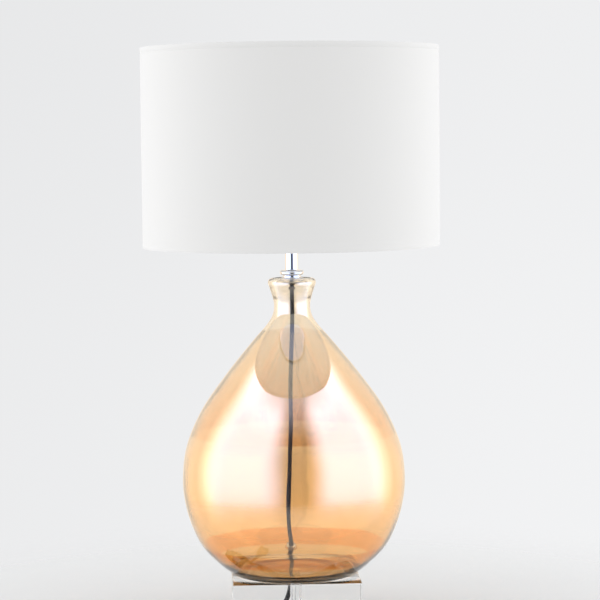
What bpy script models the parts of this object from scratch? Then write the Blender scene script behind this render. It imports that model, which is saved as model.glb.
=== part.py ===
"""Table lamp: linen drum shade, chrome stem, blown glass teardrop body and clear plinth.

Metres, +Z up. The origin is on the lamp's axis at the height of the surface it stands on.
The front faces -Y, and the flex leaves at the back, +Y.
"""

import math

import bmesh
import bpy
from mathutils import Matrix, Vector

GAP = 0.0003
MERGE = 0.00001

# Plinth
PLINTH_SIDE = 0.150
PLINTH_TOP = 0.060
PLINTH_BORE_R = 0.0065
BUMPER_R = 0.006
BUMPER_H = 0.0015
BUMPER_PLACE = 0.062
BOND_H = 0.0004

# Glass body: outer outline from the foot to the lip, as radius and height above the foot
FOOT_Z = PLINTH_TOP + BOND_H + 2 * GAP
FOOT_R = 0.0717
GLASS_OUTLINE = [
    (0.0724, 0.0008),
    (0.0857, 0.0096),
    (0.1070, 0.0307),
    (0.1190, 0.0523),
    (0.1282, 0.0810),
    (0.1317, 0.1130),
    (0.1265, 0.1529),
    (0.1078, 0.1958),
    (0.0775, 0.2387),
    (0.0466, 0.2767),
    (0.0308, 0.2945),
    (0.0234, 0.3063),
    (0.0212, 0.3180),
    (0.0235, 0.3301),
    (0.0281, 0.3440),
]
LIP = [(0.0275, 0.3480), (0.0254, 0.3502), (0.0231, 0.3504), (0.0211, 0.3488)]
MOUTH = [(0.0206, 0.3450), (0.0201, 0.3390), (0.0191, 0.3310)]
GLASS_WALL = 0.0030
GLASS_FLOOR = 0.0065
HOLE_R = 0.0050
HOLE_Z = 0.0135
HOLE_Y = 0.0912
HOLE_DIP = math.radians(51)
HOLE_TURN = (-math.pi / 2 - HOLE_DIP, 0, 0)

# Metalwork, heights above the glass foot
CAP_R = 0.0202
CAP_RISE_R = 0.0146
BOSS_R = 0.0105
CAP_TOP = 0.3490
RISE_TOP = 0.3506
BOSS_TOP = 0.3538
FLANGE_R = 0.0140
FLANGE_H = 0.0056
ROD_R = 0.0048
ROD_BORE_R = 0.0034
STEM_R = 0.00765
STEM_WALL = 0.0010

# Lampholder, heights above the surface
HOLDER_Z = 0.4535
HOLDER_R = 0.0190
COLLAR_R = 0.0245
COLLAR_TOP = 0.4785
HOLDER_TOP = 0.5130
SWITCH_Z = 0.4645
SWITCH_X = 0.0030
SWITCH_Y = 0.0095
SWITCH_R = 0.0024
SWITCH_HALF = 0.0300

# Bulb
BULB_R = 0.0182
BULB_CAP_R = 0.0130
BULB_Z = 0.4905
BULB_H = 0.108
BULB_WALL = 0.0008

# Shade
SHADE_R = 0.1750
SHADE_BOTTOM = 0.4490
SHADE_TOP = 0.6825
LINEN = 0.0006
LINER = 0.0004
WIRE_R = 0.0015
HEM_H = 0.0100
SHADE_STEPS = 48
TAPE_SHARE = 0.33
ARM_ANGLES = (90, 210, 330)
ARM_R = 0.0016
FITTER_R = 0.0252
FITTER_BORE_R = 0.0206
RING_R = 0.0248
RING_BORE_R = 0.0194

# Flex
FLEX_R = 0.0025
COIL_CENTRE = (-0.1285, -0.0350)
COIL_MEAN_R = 0.0300
COIL_HALF_WIDTH = 0.0125
TURN_OUT = 0.0100
TURN_LAST = 0.0050
COIL_BASE = 0.0015
COIL_TOP = 0.0115
TIE_THICK = 0.0010
TIE_WIDTH = 0.0060
PLUG_X = COIL_CENTRE[0] + COIL_MEAN_R + TURN_LAST
PLUG_Z = 0.0068
RELIEF_START = -0.0850
RELIEF_LENGTH = 0.0270
PLUG_LENGTH = 0.0350
PIN_LENGTH = 0.0190

parts = None
cutters = None
materials = {}


def empty_scene():
    for obj in list(bpy.data.objects):
        bpy.data.objects.remove(obj, do_unlink=True)


def new_collection(name):
    made = bpy.data.collections.new(name)
    bpy.context.scene.collection.children.link(made)
    return made


def material(name, colour, roughness, metallic=0.0, transmission=0.0):
    if name in materials:
        return materials[name]
    made = bpy.data.materials.new(name)
    made.use_nodes = True
    shader = made.node_tree.nodes["Principled BSDF"]
    shader.inputs["Base Color"].default_value = (*colour, 1)
    shader.inputs["Roughness"].default_value = roughness
    shader.inputs["Metallic"].default_value = metallic
    shader.inputs["Transmission Weight"].default_value = transmission
    made.diffuse_color = (*colour, 1)
    materials[name] = made
    return made


def amber():
    return material("amber_glass", (0.82, 0.50, 0.24), 0.02, 0.35, 0.7)


def clear():
    return material("clear_acrylic", (0.96, 0.96, 0.96), 0.03, 0.0, 0.95)


def chrome():
    return material("chrome", (0.86, 0.87, 0.89), 0.05, 1.0)


def steel():
    return material("zinc_steel", (0.62, 0.62, 0.60), 0.35, 1.0)


def brass():
    return material("brass", (0.78, 0.62, 0.33), 0.25, 1.0)


def linen():
    return material("white_linen", (0.90, 0.91, 0.90), 0.85)


def white_plastic():
    return material("white_plastic", (0.85, 0.85, 0.83), 0.45)


def opal():
    return material("opal_glass", (0.93, 0.93, 0.90), 0.25)


def white_enamel():
    return material("white_enamel", (0.88, 0.88, 0.87), 0.3)


def black_sheath():
    return material("black_sheath", (0.015, 0.015, 0.016), 0.42)


def brown_plastic():
    return material("brown_plastic", (0.16, 0.08, 0.03), 0.4)


def add(name, data, finish, where=(0, 0, 0), turn=(0, 0, 0)):
    obj = bpy.data.objects.new(name, data)
    obj.location = where
    obj.rotation_euler = turn
    parts.objects.link(obj)
    if finish is not None:
        data.materials.append(finish)
    return obj


def wire_mesh(name, points, closed):
    mesh = bpy.data.meshes.new(name)
    edges = [(i, i + 1) for i in range(len(points) - 1)]
    if closed:
        edges.append((len(points) - 1, 0))
    mesh.from_pydata([(r, 0, z) for r, z in points], edges, [])
    return mesh


def turned(name, profile, finish, steps=24, closed=True, where=(0, 0, 0), turn=(0, 0, 0)):
    """A body of revolution. The profile runs down its outer side first."""
    obj = add(name, wire_mesh(name, profile, closed), finish, where, turn)
    screw = obj.modifiers.new("Turn", "SCREW")
    screw.axis = "Z"
    screw.steps = steps
    screw.render_steps = steps
    screw.use_merge_vertices = True
    screw.merge_threshold = MERGE
    screw.use_smooth_shade = True
    return obj


def ring_profile(inner, outer, low, high):
    return [(outer, high), (outer, low), (inner, low), (inner, high)]


def blend(t, a, b, c, d):
    """The Catmull-Rom value between b and c at a share t of the way."""
    bend = 2 * a - 5 * b + 4 * c - d
    turn = 3 * b - a - 3 * c + d
    return 0.5 * (2 * b + (c - a) * t + bend * t**2 + turn * t**3)


def smooth_line(points, per_span):
    """A Catmull-Rom curve through the points, of any number of dimensions."""
    ends = [
        [2 * a - b for a, b in zip(points[0], points[1])],
        [2 * a - b for a, b in zip(points[-1], points[-2])],
    ]
    line = [ends[0], *points, ends[1]]
    made = []
    for i in range(1, len(line) - 2):
        around = list(zip(*line[i - 1 : i + 3]))
        made += [tuple(blend(k / per_span, *values) for values in around) for k in range(per_span)]
    made.append(tuple(points[-1]))
    return made


def spaced(line, step):
    """The line's points again, about a step apart."""
    spots = [Vector(p) for p in line]
    total = sum((b - a).length for a, b in zip(spots, spots[1:]))
    pieces = max(1, round(total / step))
    made = [spots[0]]
    along = 0.0
    for a, b in zip(spots, spots[1:]):
        length = (b - a).length
        while len(made) < pieces and along + length >= total / pieces * len(made):
            made.append(a.lerp(b, (total / pieces * len(made) - along) / length))
        along += length
    made.append(spots[-1])
    return made


def tube(name, line, radius, finish, resolution=2):
    """Round wire along a line of points, with closed ends."""
    curve = bpy.data.curves.new(name, "CURVE")
    curve.dimensions = "3D"
    curve.bevel_depth = radius
    curve.bevel_resolution = resolution
    curve.use_fill_caps = True
    spline = curve.splines.new("POLY")
    spline.points.add(len(line) - 1)
    for spot, place in zip(spline.points, line):
        spot.co = (*place, 1)
    return add(name, curve, finish)


def plate(name, outlines, thickness, finish, where=(0, 0, 0), turn=(0, 0, 0)):
    """A flat piece from closed outlines, later ones being holes or islands."""
    curve = bpy.data.curves.new(name, "CURVE")
    curve.dimensions = "2D"
    curve.fill_mode = "BOTH"
    curve.extrude = thickness / 2
    for outline in outlines:
        spline = curve.splines.new("POLY")
        spline.points.add(len(outline) - 1)
        for spot, place in zip(spline.points, outline):
            spot.co = (*place, 0, 1)
        spline.use_cyclic_u = True
    return add(name, curve, finish, where, turn)


def circle(radius, count, centre=(0, 0)):
    turns = [math.tau * i / count for i in range(count)]
    return [(centre[0] + radius * math.cos(a), centre[1] + radius * math.sin(a)) for a in turns]


def cylinder_mesh(name, radius, length, count):
    mesh = bpy.data.meshes.new(name)
    shape = bmesh.new()
    sizes = {"radius1": radius, "radius2": radius, "depth": length}
    bmesh.ops.create_cone(shape, cap_ends=True, segments=count, **sizes)
    shape.to_mesh(mesh)
    shape.free()
    return mesh


def pins(name, places, radius, length, finish, turn=(0, 0, 0), count=16):
    """Identical round pins, numbered from 1, each centred on its place."""
    for i, place in enumerate(places, 1):
        add(f"{name}_{i}", cylinder_mesh(name, radius, length, count), finish, place, turn)


def cylinder_cutter(name, radius, length, where, turn=(0, 0, 0)):
    obj = bpy.data.objects.new(name, cylinder_mesh(name, radius, length, 24))
    obj.location = where
    obj.rotation_euler = turn
    obj.hide_render = True
    obj.display_type = "WIRE"
    cutters.objects.link(obj)
    return obj


def cut(obj, cutter):
    boolean = obj.modifiers.new("Cut", "BOOLEAN")
    boolean.operation = "DIFFERENCE"
    boolean.solver = "EXACT"
    boolean.object = cutter


def plinth():
    low = BUMPER_H + GAP
    mesh = bpy.data.meshes.new("plinth_block")
    shape = bmesh.new()
    size = Matrix.Diagonal((PLINTH_SIDE, PLINTH_SIDE, PLINTH_TOP - low, 1))
    bmesh.ops.create_cube(shape, size=1.0, matrix=size)
    shape.to_mesh(mesh)
    shape.free()
    block = add("plinth_block", mesh, clear(), (0, 0, (PLINTH_TOP + low) / 2))
    bevel = block.modifiers.new("Edges", "BEVEL")
    bevel.width = 0.0008
    bevel.segments = 2
    cut(block, cylinder_cutter("plinth_bore", PLINTH_BORE_R, 0.1, (0, 0, PLINTH_TOP / 2)))
    places = [(sx * BUMPER_PLACE, sy * BUMPER_PLACE, BUMPER_H / 2) for sx in (-1, 1) for sy in (-1, 1)]
    pins("plinth_bumper", places, BUMPER_R, BUMPER_H, clear())
    turned(
        "foot_bond",
        ring_profile(FOOT_R - 0.008, FOOT_R - 0.002, PLINTH_TOP + GAP, PLINTH_TOP + GAP + BOND_H),
        clear(),
        32,
    )


def inset(line, depth):
    """The line moved in by a depth, square to its run."""
    made = []
    for i, (r, z) in enumerate(line):
        before = line[max(i - 1, 0)]
        after = line[min(i + 1, len(line) - 1)]
        run = Vector((after[0] - before[0], after[1] - before[1])).normalized()
        made.append((r - depth * run.y, z + depth * run.x))
    return made


def glass_body():
    outer = list(GLASS_OUTLINE)
    inner = [p for p in inset(outer, GLASS_WALL) if GLASS_FLOOR + 0.002 < p[1] < MOUTH[-1][1] - 0.004]
    floor = [(inner[0][0] - 0.006, GLASS_FLOOR), (0.0, GLASS_FLOOR + 0.0008)]
    upper = [*reversed(outer), (FOOT_R, 0.0), (0.0, 0.0)]
    profile = [*reversed(floor), *inner, *reversed(MOUTH), *reversed(LIP), *upper]
    body = turned("glass_body", profile, amber(), 40, closed=False, where=(0, 0, FOOT_Z))
    cut(body, cylinder_cutter("flex_hole", HOLE_R, 0.03, hole_point(0), HOLE_TURN))


def hole_point(distance):
    """A point on the drilled hole's axis, at a distance outwards from the glass face."""
    return (
        0.0,
        HOLE_Y + distance * math.cos(HOLE_DIP),
        FOOT_Z + HOLE_Z - distance * math.sin(HOLE_DIP),
    )


def grommet():
    bore = FLEX_R + GAP
    neck = HOLE_R - GAP
    rim = HOLE_R + 0.0016
    outside = 0.0012
    inside = -GLASS_WALL - 0.0014
    profile = [
        (neck + 0.0004, outside + 0.0010),
        (rim, outside + 0.0002),
        (rim, outside - 0.0004),
        (neck, outside - 0.0008),
        (neck, inside),
        (bore, inside),
        (bore, outside + 0.0010),
    ]
    turned("flex_grommet", profile, clear(), 24, where=hole_point(0), turn=HOLE_TURN)


def metalwork():
    base = (0, 0, FOOT_Z)
    hole = ROD_R + GAP
    cap = [
        (BOSS_R, BOSS_TOP),
        (BOSS_R, RISE_TOP + 0.0006),
        (CAP_RISE_R - 0.001, RISE_TOP),
        (CAP_RISE_R, RISE_TOP - 0.0008),
        (CAP_RISE_R + 0.0008, CAP_TOP),
        (CAP_R - 0.0006, CAP_TOP),
        (CAP_R, CAP_TOP - 0.0006),
        (CAP_R, 0.3466),
        (0.0176, 0.3463),
        (0.0176, 0.3445),
        (0.0164, 0.3445),
        (0.0164, 0.3470),
        (0.0092, 0.3478),
        (0.0092, 0.3502),
        (hole, 0.3502),
        (hole, BOSS_TOP),
    ]
    turned("vase_cap", cap, chrome(), 32, where=base)
    turned("cap_gasket", ring_profile(0.0179, 0.0199, 0.3446, 0.3460), clear(), 24, where=base)
    turned("rod_washer", ring_profile(hole, 0.0085, 0.3491, 0.3499), steel(), 24, where=base)
    hexagon = circle(0.0080, 6)
    plate("rod_nut", [hexagon, circle(hole, 20)], 0.0030, steel(), (0, 0, FOOT_Z + 0.3473))
    low = BOSS_TOP + GAP
    high = low + FLANGE_H
    flange = [(FLANGE_R - 0.0022, high), (FLANGE_R - 0.0007, high - 0.0006), (FLANGE_R, high - 0.0021)]
    flange += [(FLANGE_R, low + 0.0021), (FLANGE_R - 0.0007, low + 0.0006), (FLANGE_R - 0.0022, low)]
    flange += [(hole, low), (hole, high)]
    turned("flange_ring", flange, chrome(), 32, where=base)
    stem = ring_profile(STEM_R - STEM_WALL, STEM_R, FOOT_Z + high + GAP, HOLDER_Z - GAP)
    turned("stem_tube", stem, chrome(), 24)
    rod = ring_profile(ROD_BORE_R, ROD_R, FOOT_Z + 0.3449, HOLDER_Z + 0.0060)
    turned("threaded_rod", rod, steel(), 20)
    bush = [(0.0036, 0.3432), (0.0039, 0.3424), (0.0039, 0.3404), (0.0036, 0.3398)]
    bush += [(FLEX_R + GAP, 0.3398), (FLEX_R + GAP, 0.3432)]
    turned("flex_bush", bush, brown_plastic(), 24, where=base)


def lampholder():
    z = HOLDER_Z
    hole = ROD_R + GAP
    cap = [
        (HOLDER_R, COLLAR_TOP - 0.0040),
        (HOLDER_R, z + 0.0080),
        (0.0150, z + 0.0010),
        (0.0130, z),
        (hole, z),
        (hole, z + 0.0070),
        (0.0120, z + 0.0070),
        (HOLDER_R - 0.0020, z + 0.0100),
        (HOLDER_R - 0.0020, COLLAR_TOP - 0.0040),
    ]
    base = turned("holder_cap", cap, white_plastic(), 24)
    across = (0, math.pi / 2, 0)
    cut(base, cylinder_cutter("switch_hole", SWITCH_R + GAP, 0.06, (0, SWITCH_Y, SWITCH_Z), across))
    low = COLLAR_TOP - 0.0037
    shell = [
        (HOLDER_R, HOLDER_TOP),
        (HOLDER_R, COLLAR_TOP),
        (COLLAR_R, COLLAR_TOP),
        (COLLAR_R, low + 0.0012),
        (HOLDER_R + 0.0006, low),
        (HOLDER_R - 0.0014, low),
        (HOLDER_R - 0.0014, HOLDER_TOP),
    ]
    turned("holder_shell", shell, white_plastic(), 24)
    reach = HOLDER_R - 0.0014 - GAP
    core = [(0.0, 0.4860), (0.0128, 0.4860), (0.0128, 0.4900), (reach, 0.4900)]
    core += [(reach, 0.4790), (0.0100, 0.4785), (0.0100, 0.4730), (0.0, 0.4730)]
    turned("insulating_core", core, white_plastic(), 24, closed=False)
    turned("screw_shell", ring_profile(0.0136, 0.0141, 0.4903, 0.5100), brass(), 24)
    contact = smooth_line([(-0.0090, 0.4866), (-0.0050, 0.4870), (0.0, 0.4890), (0.0040, 0.4892)], 4)
    below = [(x, y - 0.0004) for x, y in reversed(contact)]
    plate("centre_contact", [[*contact, *below]], 0.0050, brass(), turn=(math.pi / 2, 0, 0))
    pins("terminal_screw", [(side * 0.0060, 0, 0.47085) for side in (-1, 1)], 0.0018, 0.0037, brass())
    bar = [(SWITCH_R - 0.0005, SWITCH_HALF), (SWITCH_R, SWITCH_HALF - 0.0006)]
    bar += [(r, -h) for r, h in reversed(bar)]
    bar = [(0.0, SWITCH_HALF), *bar, (0.0, -SWITCH_HALF)]
    place = (SWITCH_X, SWITCH_Y, SWITCH_Z)
    turned("switch_bar", bar, white_plastic(), 20, closed=False, where=place, turn=across)
    for i, side in enumerate((-1, 1), 1):
        route = [(0.0012, 0.0082), (0.0016, 0.0100), (0.0046, 0.0118), (0.0060, 0.0133), (0.0060, 0.0151)]
        line = smooth_line([(side * x, 0, z + h) for x, h in route], 2)
        tube(f"terminal_wire_{i}", line, 0.0009, brown_plastic(), 1)


def bulb():
    z = BULB_Z
    cap = [(BULB_CAP_R - 0.0004, z + 0.0215)]
    for turn in range(4):
        crest = z + 0.0180 - 0.0036 * turn
        cap += [(BULB_CAP_R, crest), (BULB_CAP_R - 0.0009, crest - 0.0018)]
    cap += [(0.0080, z + 0.0010), (0.0080, z + 0.0018), (BULB_CAP_R - 0.0016, z + 0.0068)]
    cap += [(BULB_CAP_R - 0.0016, z + 0.0215)]
    turned("bulb_cap", cap, steel(), 20)
    tip = [(0.0, z + 0.0030), (0.0045, z + 0.0030), (0.0074, z + 0.0016)]
    tip += [(0.0050, z), (0.0035, z - 0.0008), (0.0, z - 0.0008)]
    turned("bulb_contact", tip, brass(), 16, closed=False)
    start = z + 0.0218
    top = z + BULB_H
    candle = [(0.0124, start), (0.0138, start + 0.010), (0.0174, start + 0.026)]
    candle += [(BULB_R, start + 0.042), (0.0128, start + 0.068), (0.0, top)]
    outer = [(max(r, 0.0), h) for r, h in smooth_line(candle, 2)]
    inner = [(max(r, 0.0), h) for r, h in inset(outer, BULB_WALL)]
    inner[-1] = (0.0, top - BULB_WALL)
    turned("bulb_envelope", [*reversed(outer), *inner], opal(), 24, closed=False)


def shade():
    skin_in = SHADE_R - LINEN
    liner_out = skin_in - GAP
    liner_in = liner_out - LINER
    wire_at = liner_in - GAP - WIRE_R
    hem_out = wire_at - WIRE_R - GAP
    hem_in = hem_out - LINEN
    turned("shade_skin", ring_profile(skin_in, SHADE_R, SHADE_BOTTOM, SHADE_TOP), linen(), SHADE_STEPS)
    edge = LINEN + GAP
    liner = ring_profile(liner_in, liner_out, SHADE_BOTTOM + edge, SHADE_TOP - edge)
    turned("shade_liner", liner, white_plastic(), SHADE_STEPS)
    for name, side, at in (("top_hem", -1, SHADE_TOP), ("bottom_hem", 1, SHADE_BOTTOM)):
        hem = [
            (liner_out, at),
            (liner_out, at + side * LINEN),
            (hem_out, at + side * LINEN),
            (hem_out, at + side * HEM_H),
            (hem_in, at + side * HEM_H),
            (hem_in, at),
        ]
        if side > 0:
            hem.reverse()
        turned(name, hem, linen(), SHADE_STEPS)
    reach = edge + WIRE_R
    for name, at in (("top_wire", SHADE_TOP - reach), ("bottom_wire", SHADE_BOTTOM + reach)):
        turns = [math.tau * i / 6 for i in range(6)]
        wire = [(wire_at + WIRE_R * math.cos(a), at - WIRE_R * math.sin(a)) for a in turns]
        turned(name, wire, white_enamel(), SHADE_STEPS)
    facet = math.tau / SHADE_STEPS
    band = []
    for radius, sides in ((liner_in - GAP, (1, 0, -1)), (liner_in - 2 * GAP, (-1, 0, 1))):
        for side in sides:
            corner = Vector((math.sin(side * facet), math.cos(side * facet))) * radius
            band.append(Vector((0, radius)).lerp(corner, TAPE_SHARE))
    low = SHADE_BOTTOM + 0.012
    high = SHADE_TOP - 0.012
    plate("joint_tape", [band], high - low, white_plastic(), (0, 0, (low + high) / 2))
    seat = COLLAR_TOP + GAP
    turned("fitter_ring", ring_profile(FITTER_BORE_R, FITTER_R, seat, seat + 0.0016), white_enamel(), 32)
    for i, angle in enumerate(ARM_ANGLES, 1):
        way = Vector((math.cos(math.radians(angle)), math.sin(math.radians(angle)), 0))
        route = [(FITTER_R + GAP, 0.4795), (0.055, 0.4788), (0.110, 0.4690), (0.150, 0.4570)]
        route.append((hem_in - GAP, 0.4540))
        line = [way * r + Vector((0, 0, h)) for r, h in smooth_line(route, 2)]
        tube(f"spider_arm_{i}", line, ARM_R, white_enamel(), 1)
    low = seat + 0.0016 + GAP
    ring = [
        (0.0222, low + 0.0080),
        (0.0226, low + 0.0024),
        (RING_R, low + 0.0020),
        (RING_R, low),
        (RING_BORE_R, low),
        (RING_BORE_R, low + 0.0080),
    ]
    turned("shade_ring", ring, white_plastic(), 32)


def flex_route():
    """The free flex from the drilled hole to the coil."""
    start = hole_point(0.0005)
    bend = hole_point(0.006)
    side = COIL_CENTRE[0] + COIL_MEAN_R + TURN_OUT
    return [
        start,
        bend,
        (-0.0008, 0.0985, 0.0600),
        (-0.0012, 0.0995, 0.0420),
        (-0.0030, 0.0995, 0.0260),
        (-0.0090, 0.0990, 0.0125),
        (-0.0200, 0.0975, 0.0048),
        (-0.0360, 0.0940, 0.0031),
        (-0.0550, 0.0900, FLEX_R),
        (-0.0700, 0.0855, FLEX_R),
        (-0.0815, 0.0765, FLEX_R),
        (side, 0.0630, FLEX_R),
        (side - 0.0008, 0.0450, FLEX_R),
        (side, 0.0200, 0.0034),
        (side, -0.0138, 0.0040),
    ]


def inner_route():
    """The flex held inside the lamp, from the lampholder to the drilled hole."""
    return [
        (0, 0, HOLDER_Z + 0.0079),
        (0, 0, FOOT_Z + 0.3420),
        (0, 0, FOOT_Z + 0.3000),
        (-0.0012, 0.003, FOOT_Z + 0.2650),
        (-0.0026, 0.009, FOOT_Z + 0.2200),
        (-0.0022, 0.020, FOOT_Z + 0.1700),
        (-0.0036, 0.035, FOOT_Z + 0.1150),
        (-0.0040, 0.052, FOOT_Z + 0.0700),
        (-0.0020, 0.069, FOOT_Z + 0.0390),
        hole_point(-0.010),
        hole_point(0.0002),
    ]


def band_outline(left, right, low, high):
    return [(left, low), (right, low), (right, high), (left, high)]


def flex():
    tube("flex_inner", spaced(smooth_line(inner_route(), 10), 0.0085), FLEX_R, black_sheath())
    tube("flex_outer", spaced(smooth_line(flex_route(), 10), 0.0065), FLEX_R, black_sheath())
    low = COIL_MEAN_R - COIL_HALF_WIDTH
    high = COIL_MEAN_R + COIL_HALF_WIDTH
    round_off = 0.0020
    coil = [
        (high - round_off, COIL_TOP),
        (high, COIL_TOP - round_off),
        (high, COIL_BASE + round_off),
        (high - round_off, COIL_BASE),
        (low + round_off, COIL_BASE),
        (low, COIL_BASE + round_off),
        (low, COIL_TOP - round_off),
        (low + round_off, COIL_TOP),
    ]
    turned("flex_coil", coil, black_sheath(), 32, where=(*COIL_CENTRE, 0))
    inner = band_outline(low - GAP, high + GAP, COIL_BASE - GAP, COIL_TOP + GAP)
    outer = band_outline(low - TIE_THICK, high + TIE_THICK, COIL_BASE - TIE_THICK, COIL_TOP + TIE_THICK)
    turn = (math.pi / 2, 0, math.pi)
    plate("coil_tie", [outer, inner], TIE_WIDTH, black_sheath(), (*COIL_CENTRE, 0), turn)
    tail = [(-0.0632, 0.0088), (-0.0700, 0.0076), (-0.0780, PLUG_Z), (RELIEF_START + GAP, PLUG_Z)]
    line = smooth_line([(PLUG_X, y, z) for y, z in tail], 6)
    tube("flex_tail", spaced(line, 0.0050), FLEX_R, black_sheath())


def plug():
    along = (math.pi / 2, 0, 0)
    start = (PLUG_X, RELIEF_START, PLUG_Z)
    relief = [(0.0, 0.0), (0.0034, 0.0), (0.0036, 0.0010), (0.0056, RELIEF_LENGTH), (0.0, RELIEF_LENGTH)]
    turned("plug_relief", list(reversed(relief)), black_sheath(), 20, closed=False, where=start, turn=along)
    body_start = RELIEF_START - RELIEF_LENGTH - GAP
    half = PLUG_LENGTH / 2
    outline = [(-0.0065, half), (0.0065, half), (0.0125, half - 0.012)]
    outline += [(0.0128, -half), (-0.0128, -half), (-0.0125, half - 0.012)]
    body = plate("plug_body", [outline], 0.0125, black_sheath(), (PLUG_X, body_start - half, PLUG_Z))
    weld = body.modifiers.new("Weld", "WELD")
    weld.merge_threshold = MERGE
    edges = body.modifiers.new("Edges", "BEVEL")
    edges.width = 0.0018
    edges.segments = 2
    end = body_start - PLUG_LENGTH - GAP
    places = [(PLUG_X + side * 0.0093, end - PIN_LENGTH / 2, PLUG_Z) for side in (-1, 1)]
    pins("plug_pin", places, 0.0020, PIN_LENGTH, brass(), along)


empty_scene()
parts = new_collection("table_lamp")
cutters = new_collection("table_lamp_cutters")
plinth()
glass_body()
grommet()
metalwork()
lampholder()
bulb()
shade()
flex()
plug()
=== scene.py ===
# Table lamp: linen drum shade, chrome stem, amber lustre glass teardrop and clear plinth.
# Metres, +Z up. The lamp's axis is the Z axis, and it stands on z = 0.

import math

import bmesh
import bpy
from mathutils import Euler, Matrix, Vector


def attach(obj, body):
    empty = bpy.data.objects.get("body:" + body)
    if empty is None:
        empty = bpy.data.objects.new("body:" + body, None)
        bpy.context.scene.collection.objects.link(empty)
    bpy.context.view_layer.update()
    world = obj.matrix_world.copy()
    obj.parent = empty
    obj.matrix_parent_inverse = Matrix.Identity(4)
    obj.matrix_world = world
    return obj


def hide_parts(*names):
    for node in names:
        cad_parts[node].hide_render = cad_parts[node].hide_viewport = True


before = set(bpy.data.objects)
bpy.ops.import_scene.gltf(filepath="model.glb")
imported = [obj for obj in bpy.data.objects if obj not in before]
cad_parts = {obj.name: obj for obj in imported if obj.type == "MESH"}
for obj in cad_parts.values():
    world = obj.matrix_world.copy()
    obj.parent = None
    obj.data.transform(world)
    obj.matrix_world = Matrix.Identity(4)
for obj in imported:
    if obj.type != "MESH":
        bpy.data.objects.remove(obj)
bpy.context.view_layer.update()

# Camera
CAMERA_AT = (-0.1179, -2.7003, 0.5783)
CAMERA_DOWN = math.radians(4.087)
CAMERA_RIGHT = math.radians(2.70)
CAMERA_ROLL = math.radians(-0.60)
CAMERA_LENS = 137.7

# Studio: each panel's sides are turned this many degrees from the front
PANEL_TURNS = ((-125, -95, -34, -6), (10, 40, 95, 125))
PANEL_LEVEL = 2.07
DARK_LEVEL = 0.07
SOFT_LEVEL = 0.665
FLOOR_FULL = 0.18
FLOOR_GONE = 0.75
LIGHT_BOUNCES = 24

# Glass
FOOT_Z = 0.061
GLASS_OUTLINE = [
    (0.0728, 0.0010), (0.0857, 0.0096), (0.1070, 0.0307), (0.1190, 0.0523), (0.1282, 0.0810),
    (0.1317, 0.1130), (0.1265, 0.1529), (0.1078, 0.1958), (0.0775, 0.2387), (0.0466, 0.2767),
    (0.0308, 0.2945), (0.0234, 0.3063), (0.0212, 0.3180), (0.0235, 0.3301), (0.0281, 0.3440),
]
LIP = [
    (0.0281, 0.3463), (0.0273, 0.3484), (0.0254, 0.3500), (0.0236, 0.3503), (0.0221, 0.3497),
    (0.0211, 0.3482),
]
MOUTH = [(0.0206, 0.3450), (0.0201, 0.3390), (0.0191, 0.3310)]
UNDERSIDE = [
    (0.0, 0.0022), (0.0300, 0.0019), (0.0500, 0.0010), (0.0610, 0.0003), (0.0645, 0.0),
    (0.0712, 0.0),
]
GLASS_WALL = 0.0030
GLASS_FLOOR = 0.0065
HOLE_R = 0.0050
HOLE_DIP = math.radians(51)
HOLE_TURN = (-math.pi / 2 - HOLE_DIP, 0, 0)

# Plinth
PLINTH_SIDE = 0.150
PLINTH_LOW = 0.0018
PLINTH_TOP = 0.0600
BUMPER_AT = 0.062

# Metalwork, heights above the surface
HOLDER_Z = 0.4535
STEM_R = 0.00765
ROD_R = 0.0048
ROD_BORE_R = 0.0034
CAP_R = 0.0202
FLANGE_R = 0.0140

# Lampholder and bulb
HOLDER_R = 0.0190
COLLAR_R = 0.0245
COLLAR_TOP = 0.4785
HOLDER_TOP = 0.5130
SWITCH_Z = 0.4645
SWITCH_Y = 0.0095
SWITCH_X = 0.0030
SWITCH_R = 0.0024
SWITCH_HALF = 0.0300
BULB_R = 0.0182
BULB_CAP_R = 0.0130
BULB_Z = 0.4905
BULB_H = 0.108

# Shade
SHADE_R = 0.1750
SHADE_BOTTOM = 0.4490
SHADE_TOP = 0.6825
LINEN = 0.0006
LINER_OUT = 0.1741
LINER_IN = 0.1737
WIRE_R = 0.0015
HEM_H = 0.0100
ARM_ANGLES = (90, 210, 330)
ARM_R = 0.0016

# Flex
FLEX_R = 0.0025
COIL_CENTRE = Vector((-0.1285, -0.0350, 0))
COIL_OUT_R = 0.0400
COIL_TURNS = 8
STEPS_PER_TURN = 48
PLUG_X = -0.0935
PLUG_Z = 0.0068
RELIEF_START = -0.0850
RELIEF_LENGTH = 0.0270
PLUG_LENGTH = 0.0350
PIN_LENGTH = 0.0190
PIN_SHIFT = 0.0093


# ---------------------------------------------------------------- shaping

def only(piece):
    bpy.ops.object.select_all(action="DESELECT")
    piece.select_set(True)
    bpy.context.view_layer.objects.active = piece


def named(name):
    piece = bpy.context.object
    piece.name = name
    piece.data.name = name
    return piece


def modified(piece, kind, **settings):
    """Adds a modifier and applies it."""
    only(piece)
    made = piece.modifiers.new(kind.title(), kind)
    for key, value in settings.items():
        setattr(made, key, value)
    bpy.ops.object.modifier_apply(modifier=made.name)


def smooth(piece, angle=35):
    only(piece)
    bpy.ops.object.shade_smooth_by_angle(angle=math.radians(angle))


def placed(piece, where=(0, 0, 0), turn=(0, 0, 0)):
    """Puts the piece in its place and leaves its object at the origin."""
    only(piece)
    piece.location = where
    piece.rotation_euler = turn
    bpy.ops.object.transform_apply(location=True, rotation=True, scale=True)
    return piece


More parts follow.
